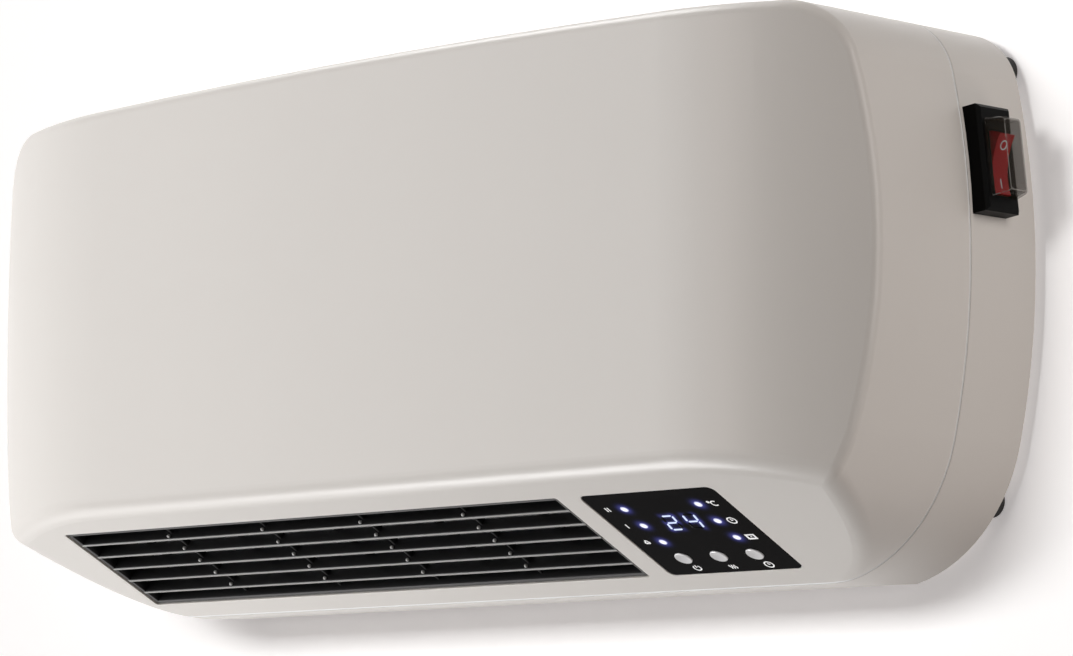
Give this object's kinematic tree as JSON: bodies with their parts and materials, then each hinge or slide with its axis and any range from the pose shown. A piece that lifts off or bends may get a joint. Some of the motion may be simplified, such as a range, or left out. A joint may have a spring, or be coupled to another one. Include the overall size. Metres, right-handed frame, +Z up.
{
  "type": "wall fan heater",
  "caption": "Wall-mounted electric fan heater: bowed white casing with a slanted outlet grille, a glossy black lit control panel, silver push buttons and a covered rocker switch on its side",
  "frame": {"origin": "centre of the wall bracket's four screw holes, on the wall's surface", "axes": "X along the heater, right as seen from the front; Y into the wall, so the front faces -Y; Z up"},
  "size_m": [0.4618, 0.108, 0.1923],
  "materials": {
    "shell": "satin warm white moulded plastic",
    "grille": "fine satin black",
    "panel": "high gloss black",
    "button": "satin silver lacquer on plastic",
    "light": "milky light-coloured lens",
    "cover": "smoky clear plastic, polished",
    "rocker": "glossy red",
    "switch_black": "glossy black",
    "rubber": "matte black",
    "steel": "zinc plated",
    "lamination": "stacked electrical steel sheets",
    "aluminium": "mill finish",
    "copper": "enamelled copper winding",
    "brass": "tinned brass",
    "ceramic": "dark fired ceramic",
    "heat_plastic": "brown-black heat-proof plastic",
    "circuit_board": "green circuit board",
    "black_part": "matte black",
    "relay_blue": "blue moulded case",
    "yellow_part": "yellow moulded case",
    "white_part": "natural white nylon",
    "glass": "clear glass",
    "filter": "dark mesh in a frame"
  },
  "bodies": {
    "heater": {"air_guide": "black_part", "bearing_bush": "brass", "bearing_grommet": "rubber", "buzzer": "black_part", "cable_grommet": "rubber", "control_board": "circuit_board", "control_board_screws": "steel", "control_panel": "panel", "display_digits": "light", "display_module": "black_part", "dust_filter": "filter", "filter_capacitor": "yellow_part", "finger_guard": "grille", "front_shell": "shell", "guide_screws": "steel", "indicator_leds": "light", "infrared_receiver": "black_part", "intake_grille": "shell", "mains_fuse": "glass", "motor_bracket_inner": "aluminium", "motor_bracket_outer": "aluminium", "motor_coil": "copper", "motor_stator": "lamination", "outlet_grille": "grille", "power_board": "circuit_board", "power_board_screws": "steel", "power_converter": "yellow_part", "ptc_cores": "ceramic", "ptc_fins": "aluminium", "ptc_frame": "heat_plastic", "ptc_terminals": "brass", "rear_shell": "shell", "relays": "relay_blue", "room_sensor": "black_part", "shell_screws": "steel", "switch_cover": "cover", "switch_housing": "switch_black", "switch_terminals": "brass", "tact_switches": "black_part", "terminal_block": "white_part", "thermal_cutout": "heat_plastic", "thermal_fuse": "steel", "vortex_tongue": "black_part", "wall_bracket": "steel", "wall_feet": "rubber"},
    "power_button": {"button_power": "button", "plunger_power": "white_part"},
    "heat_button": {"button_heat": "button", "plunger_heat": "white_part"},
    "timer_button": {"button_timer": "button", "plunger_timer": "white_part"},
    "rocker": {"switch_rocker": "rocker"},
    "fan": {"fan_impeller": "aluminium", "fan_shaft": "steel", "motor_rotor": "aluminium"}
  },
  "joints": [
    {"name": "power_press", "type": "slide", "parent": "heater", "child": "power_button", "axis": [0, 0.4695, 0.8829], "range_m": [0, 0.0005], "stiffness_N_per_m": 1500, "springref_m": -0.0005},
    {"name": "heat_press", "type": "slide", "parent": "heater", "child": "heat_button", "axis": [0, 0.4695, 0.8829], "range_m": [0, 0.0005], "stiffness_N_per_m": 1500, "springref_m": -0.0005},
    {"name": "timer_press", "type": "slide", "parent": "heater", "child": "timer_button", "axis": [0, 0.4695, 0.8829], "range_m": [0, 0.0005], "stiffness_N_per_m": 1500, "springref_m": -0.0005},
    {"name": "mains_switch", "type": "hinge", "parent": "heater", "child": "rocker", "pos_m": [0.22789, -0.02935, 0.04156], "axis": [0, 1, 0], "range_deg": [-24, 0]},
    {"name": "fan_spin", "type": "hinge", "parent": "heater", "child": "fan", "pos_m": [0, -0.04398, -0.02517], "axis": [1, 0, 0], "continuous": true}
  ]
}
